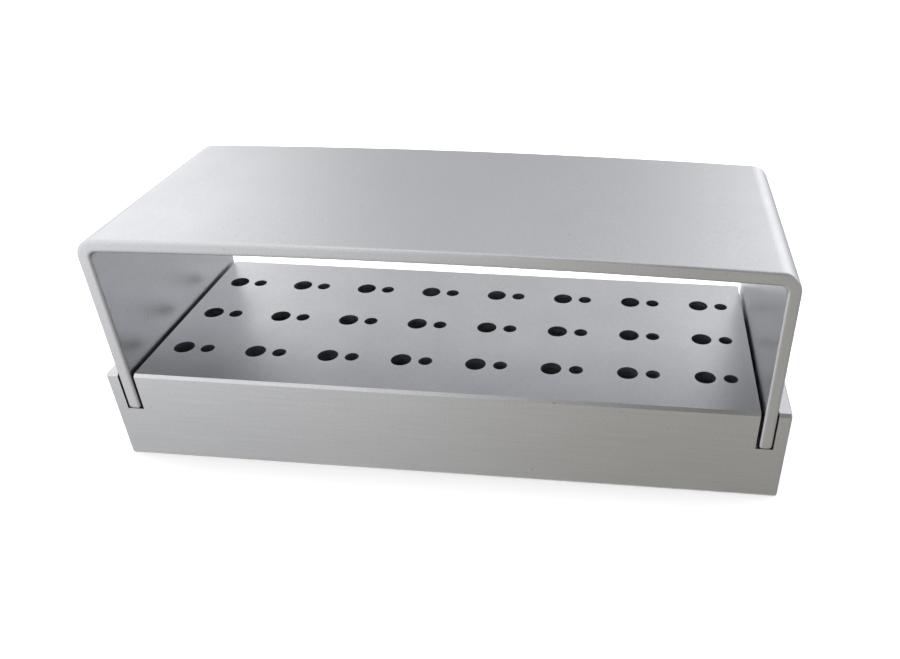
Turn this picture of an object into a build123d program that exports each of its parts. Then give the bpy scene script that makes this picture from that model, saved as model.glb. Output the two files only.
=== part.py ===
from build123d import *
from math import radians, tan
import os

# Dental bur block: a solid aluminium base with three rows of paired bur holes, and a bent
# aluminium cover whose two legs stand in slots in the base.
#
# Millimetres. The origin is at the centre of the base's underside, +Z is up, X runs along the
# rows of holes and -Y is the open front.

os.makedirs("parts", exist_ok=True)

# Bur holes. Each place in the grid is a pair: a wide hole for a latch shank on the left and a
# narrow one for a friction-grip shank on the right.
columns = 8
rows = 3
column_pitch = 9.15
row_pitch = 8.5
pair_spacing = 3.0
latch_shank = 2.35
latch_clearance = 0.15
grip_shank = 1.6
grip_clearance = 0.1
bore_depth = 9.0
drill_point_angle = 118.0

# Base block
base_floor = 3.0
hole_edge_margin = 1.975
front_margin = 6.5
slot_depth = 5.0
lip_thickness = 1.45
deck_chamfer = 0.35
base_edge_break = 0.15

# Cover sheet
sheet = 1.45
headroom = 16.55
roof_crown = 0.6
bend_radius = 0.8
foot_radius = 0.4
sheet_edge_radius = 0.2
leg_inner_clearance = 0.4
leg_outer_clearance = 0.15

# Sizes that follow from the ones above
latch_bore = latch_shank + latch_clearance
grip_bore = grip_shank + grip_clearance
first_to_last_hole = (columns - 1) * column_pitch + pair_spacing
base_depth = (rows - 1) * row_pitch + 2 * front_margin
deck_z = base_floor + bore_depth
slot_floor_z = deck_z - slot_depth

# The outermost hole edges lie equally far from the two slots. The wide holes stand on the left
# of their pairs, so this sets the grid a little to the right of the base's middle.
grid_offset = (latch_bore - grip_bore) / 4
holes_length = first_to_last_hole + (latch_bore + grip_bore) / 2

slot_inner_x = holes_length / 2 + hole_edge_margin
leg_inner_x = slot_inner_x + leg_inner_clearance
leg_outer_x = leg_inner_x + sheet
slot_outer_x = leg_outer_x + leg_outer_clearance
slot_width = slot_outer_x - slot_inner_x
slot_centre_x = (slot_inner_x + slot_outer_x) / 2
base_length = 2 * (slot_outer_x + lip_thickness)

roof_z = deck_z + headroom + sheet
shoulder_z = roof_z - roof_crown


# The base is one machined bar. Its two slots run through from front to back, so the cover can
# be lifted out, and each bore is blind with the cone that a drill leaves.
with BuildPart() as base_block:
    with BuildSketch(Plane.XY):
        Rectangle(base_length, base_depth)
    extrude(amount=deck_z)
    long_edges = base_block.edges().filter_by(Axis.X).group_by(Axis.Z)
    chamfer(long_edges[-1], deck_chamfer)
    chamfer(long_edges[0], base_edge_break)
    chamfer(base_block.faces().filter_by(Axis.X).edges(), base_edge_break)

    with BuildSketch(Plane.XZ):
        with Locations((-slot_centre_x, deck_z), (slot_centre_x, deck_z)):
            Rectangle(slot_width, slot_depth, align=(Align.CENTER, Align.MAX))
    extrude(amount=base_depth / 2, both=True, mode=Mode.SUBTRACT)

    for diameter, side in ((latch_bore, -1), (grip_bore, 1)):
        point_height = diameter / 2 / tan(radians(drill_point_angle / 2))
        pair_x = grid_offset + side * pair_spacing / 2
        with Locations((pair_x, 0, deck_z)):
            with GridLocations(column_pitch, row_pitch, columns, rows):
                Hole(diameter / 2, bore_depth)
        with Locations((pair_x, 0, base_floor)):
            with GridLocations(column_pitch, row_pitch, columns, rows):
                Cone(
                    bottom_radius=0,
                    top_radius=diameter / 2,
                    height=point_height,
                    align=(Align.CENTER, Align.CENTER, Align.MAX),
                    mode=Mode.SUBTRACT,
                )

base_block.part.label = "base_block"
export_step(base_block.part, "parts/base_block.step")


# The cover is one strip of sheet with two bends. Its roof is very slightly crowned, and its
# feet rest on the floors of the slots.
with BuildPart() as cover:
    with BuildSketch(Plane.XZ):
        with BuildLine() as outer_face:
            left_leg = Line((-leg_outer_x, slot_floor_z), (-leg_outer_x, shoulder_z))
            roof = ThreePointArc(left_leg @ 1, (0, roof_z), (leg_outer_x, shoulder_z))
            Line(roof @ 1, (leg_outer_x, slot_floor_z))
            fillet(outer_face.vertices().group_by(Axis.Y)[-1], bend_radius + sheet)
            offset(amount=sheet, side=Side.RIGHT)
        make_face()
    extrude(amount=base_depth / 2, both=True)
    fillet(cover.faces().group_by(Axis.Z)[0].edges().filter_by(Axis.Y), foot_radius)
    front_and_back = cover.faces().filter_by(Axis.Y)
    fillet(front_and_back.edges(), sheet_edge_radius)

cover.part.label = "cover"
export_step(cover.part, "parts/cover.step")
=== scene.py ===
import bpy
from math import radians
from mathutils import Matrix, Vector


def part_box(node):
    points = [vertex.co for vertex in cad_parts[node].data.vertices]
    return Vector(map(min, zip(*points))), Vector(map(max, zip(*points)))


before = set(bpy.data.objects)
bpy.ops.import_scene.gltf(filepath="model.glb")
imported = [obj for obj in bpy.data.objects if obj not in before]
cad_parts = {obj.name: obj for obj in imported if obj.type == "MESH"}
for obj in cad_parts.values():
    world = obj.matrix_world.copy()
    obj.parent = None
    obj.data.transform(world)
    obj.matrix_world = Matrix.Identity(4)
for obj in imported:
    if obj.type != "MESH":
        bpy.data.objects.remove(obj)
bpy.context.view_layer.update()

MM = 0.001

# Camera. It stands close to the block, a little right of its middle, and looks down at it.
CAMERA_PLACE = (20.15 * MM, -90.06 * MM, 67.86 * MM)
CAMERA_TURN = (56.085, -0.175, 5.692)
SENSOR = 36.0
LENS = 33.11
SHIFT_X = -0.1100
SHIFT_Y = 0.0373
NEAREST = 0.005
FARTHEST = 20.0

# Floor and white surround
FLOOR_SIZE = 3.0
FLOOR_COLOUR = (0.93, 0.93, 0.93, 1.0)
FLOOR_ROUGHNESS = 0.9
FLOOR_SPECULAR = 0.1
BACKDROP_RADIUS = 1.4
BACKDROP_SEGMENTS = 48
BACKDROP_RINGS = 24
BACKDROP_STRENGTH = 1.0
BLACK = (0.0, 0.0, 0.0, 1.0)
WHITE = (1.0, 1.0, 1.0, 1.0)

# Soft light from above. It evens out the floor, and the metal doesn't reflect it.
LIGHT_PLACE = (0.0, 0.1, 0.7)
LIGHT_TARGET = (0.0, 0.0, 0.0)
LIGHT_SIZE = 0.6
LIGHT_POWER = 6.0

# Room light in four layers, from straight down to straight up. Each is a ring of stops, as
# (place round the horizon, brightness, tint): places 0 and 1 are -X, 0.25 is -Y, 0.5 is +X
# and 0.75 is +Y.
NEUTRAL = (1.0, 1.0, 1.0)
COOL = (0.99, 1.0, 1.01)
WARM = (1.035, 1.0, 0.90)
NADIR = (
    (0.0, 0.92, NEUTRAL), (0.16, 0.92, NEUTRAL), (0.26, 0.56, WARM), (0.33, 0.56, WARM),
    (0.50, 0.45, NEUTRAL), (0.66, 0.5, COOL), (0.71, 1.8, COOL), (0.80, 1.8, COOL),
    (0.86, 0.9, COOL), (1.0, 0.92, NEUTRAL),
)
GROUND = (
    (0.0, 1.4, NEUTRAL), (0.07, 1.45, NEUTRAL), (0.14, 1.76, NEUTRAL), (0.19, 1.22, NEUTRAL),
    (0.26, 0.54, WARM), (0.33, 0.57, WARM), (0.50, 0.65, NEUTRAL), (0.60, 0.8, NEUTRAL),
    (0.67, 0.6, COOL), (0.75, 0.6, COOL), (0.9, 0.9, COOL), (1.0, 1.4, NEUTRAL),
)
SKY = (
    (0.0, 1.45, NEUTRAL), (0.12, 1.72, NEUTRAL), (0.19, 1.5, NEUTRAL), (0.25, 0.42, NEUTRAL),
    (0.29, 0.35, NEUTRAL), (0.40, 0.6, NEUTRAL), (0.50, 1.3, NEUTRAL), (0.60, 2.0, COOL),
    (0.69, 2.2, COOL), (0.755, 0.66, COOL), (0.79, 0.6, COOL), (0.85, 1.95, COOL),
    (0.90, 1.45, COOL), (1.0, 1.45, NEUTRAL),
)
ZENITH = (
    (0.0, 1.6, NEUTRAL), (0.12, 1.6, NEUTRAL), (0.165, 1.5, NEUTRAL), (0.195, 1.1, NEUTRAL),
    (0.225, 0.4, NEUTRAL), (0.25, 0.1, WARM), (0.28, 0.08, WARM), (0.31, 0.4, WARM),
    (0.50, 0.7, NEUTRAL), (0.61, 0.5, COOL), (0.66, 0.8, COOL), (0.69, 1.4, COOL),
    (0.74, 0.98, COOL), (0.78, 1.12, COOL), (0.815, 0.85, COOL), (0.86, 1.55, COOL),
    (0.92, 1.6, COOL), (1.0, 1.6, NEUTRAL),
)

# The heights of a direction, from -1 straight down to 1 straight up, between which a layer
# takes over from the one below it
GROUND_RISE = (-0.52, -0.36)
SKY_RISE = (-0.1, 0.3)
ZENITH_RISE = (0.38, 0.60)

# Sockets of a Mix node that mixes colours. They share their names with its other sockets.
MIX_FACTOR = 0
MIX_FIRST = 6
MIX_SECOND = 7
MIX_RESULT = 2

# Anodised aluminium. A shade is a number that multiplies a colour.
NOISE_MIDDLE = (0.3, 0.7)
NOISE_DETAIL = 2.0
GRAIN_SCALE = 3800.0
GRAIN_SHADES = (0.95, 1.05)
CLOUD_SCALE = 180.0
ROUGHNESS_SWING = 0.02
BUMP_DEPTH = 0.02 * MM

SHEET_COLOUR = (0.498, 0.502, 0.522)
SHEET_ROUGHNESS = 0.36
SHEET_GRAIN = 0.2
SHEET_EDGE_RADIUS = 0.5 * MM
SHEET_EDGE_SAMPLES = 8

BAR_COLOUR = (0.507, 0.511, 0.526)
BAR_ROUGHNESS = 0.32
BAR_GRAIN = 0.25
BAR_RIGHT, BAR_BACK, BAR_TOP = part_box("base_block")[1]
# Painted shade: the bar's colour darkens towards its foot, standing in for the shade near the floor.
BAR_FOOT_PAINTED_SHADE = 0.88

# Dust
SPECK_SCALE = 1500.0
SPECK_DETAIL = 1.0
SPECK_RANGE = (0.775, 0.81)
SPECK_COVER = 0.45
SPECK_COLOUR = (0.25, 0.24, 0.23, 1.0)

# Level saw lines on the bar's sides
LINE_SCALE = 1000.0
LINE_DETAIL = 3.0
LINE_STRETCH = (0.12, 0.12, 4.0)
LINE_SHADES = (0.94, 1.01)
LINE_BUMP = 0.2

# Bores. Between the deck and the underside, and this far in from its ends and its sides, the
# bar has no surface but their walls.
BORE_INSET_X = 4.0 * MM
BORE_INSET_Y = 1.0 * MM
BORE_BOTTOM = 0.5 * MM
BORE_RIM = 0.1 * MM
BORE_WALL = (0.56, 0.59, 0.64)
BORE_METALLIC = 0.92
RING_SCALE = 5000.0
RING_STRETCH = (0.02, 0.02, 1.0)
RING_SHADES = (0.6, 1.0)
RING_DEPTH = 0.04 * MM


def tinted(value, tint):
    return tuple(value * channel for channel in tint) + (1.0,)


class Graph:
    """The nodes of one material or of the world, with a short call for each kind that recurs."""

    def __init__(self, tree):
        self.nodes = tree.nodes
        self.links = tree.links

    def add(self, kind, inputs=None):
        """A new node. Each input given is a number, a tuple or the output of another node."""
        node = self.nodes.new(kind)
        for socket, value in (inputs or {}).items():
            self.feed(value, node.inputs[socket])
        return node

    def feed(self, value, socket):
        if isinstance(value, (float, tuple)):
            socket.default_value = value
        else:
            self.links.new(value, socket)

    def ramp(self, factor, stops, interpolation="LINEAR"):
        """A colour that runs through stops of (place, colour) as the factor goes from 0 to 1."""
        node = self.add("ShaderNodeValToRGB", {"Fac": factor})
        node.color_ramp.interpolation = interpolation
        elements = node.color_ramp.elements
        while len(elements) > 1:
            elements.remove(elements[-1])
        for index, (place, colour) in enumerate(stops):
            element = elements[0] if index == 0 else elements.new(place)
            element.position = place
            element.color = colour
        return node.outputs["Color"]

    def map_range(self, value, from_range, to_range=(0.0, 1.0), interpolation="LINEAR"):
        node = self.add("ShaderNodeMapRange", {
            "Value": value,
            "From Min": from_range[0],
            "From Max": from_range[1],
            "To Min": to_range[0],
            "To Max": to_range[1],
        })
        node.interpolation_type = interpolation
        return node.outputs["Result"]

    def mix(self, factor, first, second, blend="MIX"):
        node = self.add("ShaderNodeMix")
        node.data_type = "RGBA"
        node.blend_type = blend
        for socket, value in ((MIX_FACTOR, factor), (MIX_FIRST, first), (MIX_SECOND, second)):
            self.feed(value, node.inputs[socket])
        return node.outputs[MIX_RESULT]

    def split(self, vector):
        node = self.add("ShaderNodeSeparateXYZ", {"Vector": vector})
        return node.outputs["X"], node.outputs["Y"], node.outputs["Z"]


def make_camera():
    data = bpy.data.cameras.new("camera")
    data.sensor_width = SENSOR
    data.lens = LENS
    data.shift_x = SHIFT_X
    data.shift_y = SHIFT_Y
    data.clip_start = NEAREST
    data.clip_end = FARTHEST
    camera = bpy.data.objects.new("camera", data)
    camera.location = CAMERA_PLACE
    camera.rotation_euler = [radians(angle) for angle in CAMERA_TURN]
    bpy.context.scene.collection.objects.link(camera)
    bpy.context.scene.camera = camera


def make_world():
    """A soft room: bright to the left and to the back right, dim behind the middle and in front."""
    world = bpy.data.worlds.new("soft_room")
    bpy.context.scene.world = world
    world.use_nodes = True
    graph = Graph(world.node_tree)
    graph.nodes.clear()
    direction = graph.add("ShaderNodeTexCoord").outputs["Generated"]
    around = graph.add("ShaderNodeTexGradient", {"Vector": direction})
    around.gradient_type = "RADIAL"
    height = graph.split(direction)[2]

    layers = []
    for ring in (NADIR, GROUND, SKY, ZENITH):
        stops = [(place, tinted(brightness, tint)) for place, brightness, tint in ring]
        layers.append(graph.ramp(around.outputs["Fac"], stops, "EASE"))

    colour = layers[0]
    for layer, rise in zip(layers[1:], (GROUND_RISE, SKY_RISE, ZENITH_RISE)):
        share = graph.map_range(height, rise, interpolation="SMOOTHSTEP")
        colour = graph.mix(share, colour, layer)

    background = graph.add("ShaderNodeBackground", {"Color": colour})
    graph.add("ShaderNodeOutputWorld", {"Surface": background.outputs["Background"]})


def make_top_light():
    data = bpy.data.lights.new("top_soft", "AREA")
    data.shape = "SQUARE"
    data.size = LIGHT_SIZE
    data.energy = LIGHT_POWER
    light = bpy.data.objects.new("top_soft", data)
    light.location = LIGHT_PLACE
    light.rotation_mode = "QUATERNION"
    light.rotation_quaternion = (Vector(LIGHT_TARGET) - Vector(LIGHT_PLACE)).to_track_quat("-Z", "Y")
    light.visible_camera = False
    light.visible_glossy = False
    bpy.context.scene.collection.objects.link(light)


def make_floor():
    mesh = bpy.data.meshes.new("floor")
    half = FLOOR_SIZE / 2
    corners = [(-half, -half, 0), (half, -half, 0), (half, half, 0), (-half, half, 0)]
    mesh.from_pydata(corners, [], [(0, 1, 2, 3)])
    floor = bpy.data.objects.new("floor", mesh)
    bpy.context.scene.collection.objects.link(floor)
    material = bpy.data.materials.new("pale_floor")
    material.use_nodes = True
    shader = material.node_tree.nodes["Principled BSDF"]
    shader.inputs["Base Color"].default_value = FLOOR_COLOUR
    shader.inputs["Roughness"].default_value = FLOOR_ROUGHNESS
    shader.inputs["Specular IOR Level"].default_value = FLOOR_SPECULAR
    mesh.materials.append(material)
    floor.visible_glossy = False


def make_backdrop():
    """A white surround that only the camera sees, so the room's light reaches the metal past it."""
    bpy.ops.mesh.primitive_uv_sphere_add(
        segments=BACKDROP_SEGMENTS, ring_count=BACKDROP_RINGS, radius=BACKDROP_RADIUS)
    backdrop = bpy.context.object
    backdrop.name = "backdrop"
    for polygon in backdrop.data.polygons:
        polygon.use_smooth = True
    material = bpy.data.materials.new("white_backdrop")
    material.use_nodes = True
    shader = material.node_tree.nodes["Principled BSDF"]
    shader.inputs["Base Color"].default_value = BLACK
    shader.inputs["Emission Color"].default_value = WHITE
    shader.inputs["Emission Strength"].default_value = BACKDROP_STRENGTH
    backdrop.data.materials.append(material)
    backdrop.visible_diffuse = False
    backdrop.visible_glossy = False
    backdrop.visible_transmission = False
    backdrop.visible_shadow = False


class Metal(Graph):
    """A new metal material. Its textures keep their places on the piece."""

    def __init__(self, name):
        self.material = bpy.data.materials.new(name)
        self.material.use_nodes = True
        super().__init__(self.material.node_tree)
        self.shader = self.nodes["Principled BSDF"]
        self.shader.inputs["Metallic"].default_value = 1.0
        self.place = self.add("ShaderNodeTexCoord").outputs["Object"]

    def noise(self, scale, detail=NOISE_DETAIL, stretch=None):
        place = self.place
        if stretch:
            place = self.add("ShaderNodeMapping", {"Vector": place, "Scale": stretch}).outputs["Vector"]
        texture = self.add("ShaderNodeTexNoise", {"Vector": place, "Scale": scale, "Detail": detail})
        return texture.outputs["Fac"]

    def math(self, operation, *values):
        node = self.add("ShaderNodeMath", dict(enumerate(values)))
        node.operation = operation
        return node.outputs["Value"]

    def shaded(self, noise, shades, colour):
        """A colour that runs from one shade to the other over the middle of a noise."""
        stops = [(place, tinted(shade, colour)) for place, shade in zip(NOISE_MIDDLE, shades)]
        return self.ramp(noise, stops)

    def dusted(self, tone):
        specks = self.noise(SPECK_SCALE, SPECK_DETAIL)
        cover = self.map_range(specks, SPECK_RANGE, (0.0, SPECK_COVER))
        return self.mix(cover, tone, SPECK_COLOUR)

    def bump(self, height, strength, depth, normal=None):
        node = self.add("ShaderNodeBump", {"Height": height, "Strength": strength, "Distance": depth})
        if normal is not None:
            self.links.new(normal, node.inputs["Normal"])
        return node.outputs["Normal"]

    def finish(self, tone, roughness, normal):
        """The material, with this tone and normal, and a roughness that changes softly."""
        clouds = self.noise(CLOUD_SCALE)
        limits = (roughness - ROUGHNESS_SWING, roughness + ROUGHNESS_SWING)
        self.feed(tone, self.shader.inputs["Base Color"])
        self.feed(self.map_range(clouds, NOISE_MIDDLE, limits), self.shader.inputs["Roughness"])
        self.feed(normal, self.shader.inputs["Normal"])
        return self.material


def make_sheet():
    """The cover's anodised sheet: a matt grain, dust, and edges that catch the light softly."""
    metal = Metal("anodised_sheet")
    grain = metal.noise(GRAIN_SCALE)
    tone = metal.dusted(metal.shaded(grain, GRAIN_SHADES, SHEET_COLOUR))
    edges = metal.add("ShaderNodeBevel", {"Radius": SHEET_EDGE_RADIUS})
    edges.samples = SHEET_EDGE_SAMPLES
    normal = metal.bump(grain, SHEET_GRAIN, BUMP_DEPTH, edges.outputs["Normal"])
    return metal.finish(tone, SHEET_ROUGHNESS, normal)


def bore_mask(metal, x, y, z):
    """1 on the walls of the bores and 0 on the rest of the bar."""
    mask = metal.map_range(z, (BAR_TOP - BORE_RIM, BAR_TOP), (1.0, 0.0))
    for value, reach in ((x, BAR_RIGHT - BORE_INSET_X), (y, BAR_BACK - BORE_INSET_Y)):
        inside = metal.math("LESS_THAN", metal.math("ABSOLUTE", value), reach)
        mask = metal.math("MULTIPLY", mask, inside)
    return metal.math("MULTIPLY", mask, metal.math("GREATER_THAN", z, BORE_BOTTOM))


def make_bar():
    """The base's anodised bar: a matt grain, dust, saw lines, painted shade that darkens it towards the
    foot, and ringed bores.
    """
    metal = Metal("anodised_bar")
    x, y, z = metal.split(metal.place)
    grain = metal.noise(GRAIN_SCALE)
    tone = metal.shaded(grain, GRAIN_SHADES, BAR_COLOUR)
    normal = metal.bump(grain, BAR_GRAIN, BUMP_DEPTH)

    lines = metal.noise(LINE_SCALE, LINE_DETAIL, LINE_STRETCH)
    tone = metal.mix(1.0, tone, metal.shaded(lines, LINE_SHADES, NEUTRAL), "MULTIPLY")
    normal = metal.bump(lines, LINE_BUMP, BUMP_DEPTH, normal)

    # Painted shade: the tone darkens towards the bottom of the bar.
    painted_foot_shade = metal.map_range(z, (0.0, BAR_TOP), (BAR_FOOT_PAINTED_SHADE, 1.0))
    tone = metal.dusted(metal.mix(1.0, tone, painted_foot_shade, "MULTIPLY"))

    mask = bore_mask(metal, x, y, z)
    rings = metal.noise(RING_SCALE, stretch=RING_STRETCH)
    tone = metal.mix(mask, tone, metal.shaded(rings, RING_SHADES, BORE_WALL))
    normal = metal.bump(rings, mask, RING_DEPTH, normal)
    metallic = metal.map_range(mask, (0.0, 1.0), (1.0, BORE_METALLIC))
    metal.feed(metallic, metal.shader.inputs["Metallic"])
    return metal.finish(tone, BAR_ROUGHNESS, normal)


def dress(node, material):
    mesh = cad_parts[node].data
    mesh.materials.clear()
    mesh.materials.append(material)


make_camera()
make_world()
make_floor()
make_backdrop()
make_top_light()

bpy.context.scene.view_settings.view_transform = "Standard"

dress("base_block", make_bar())
dress("cover", make_sheet())
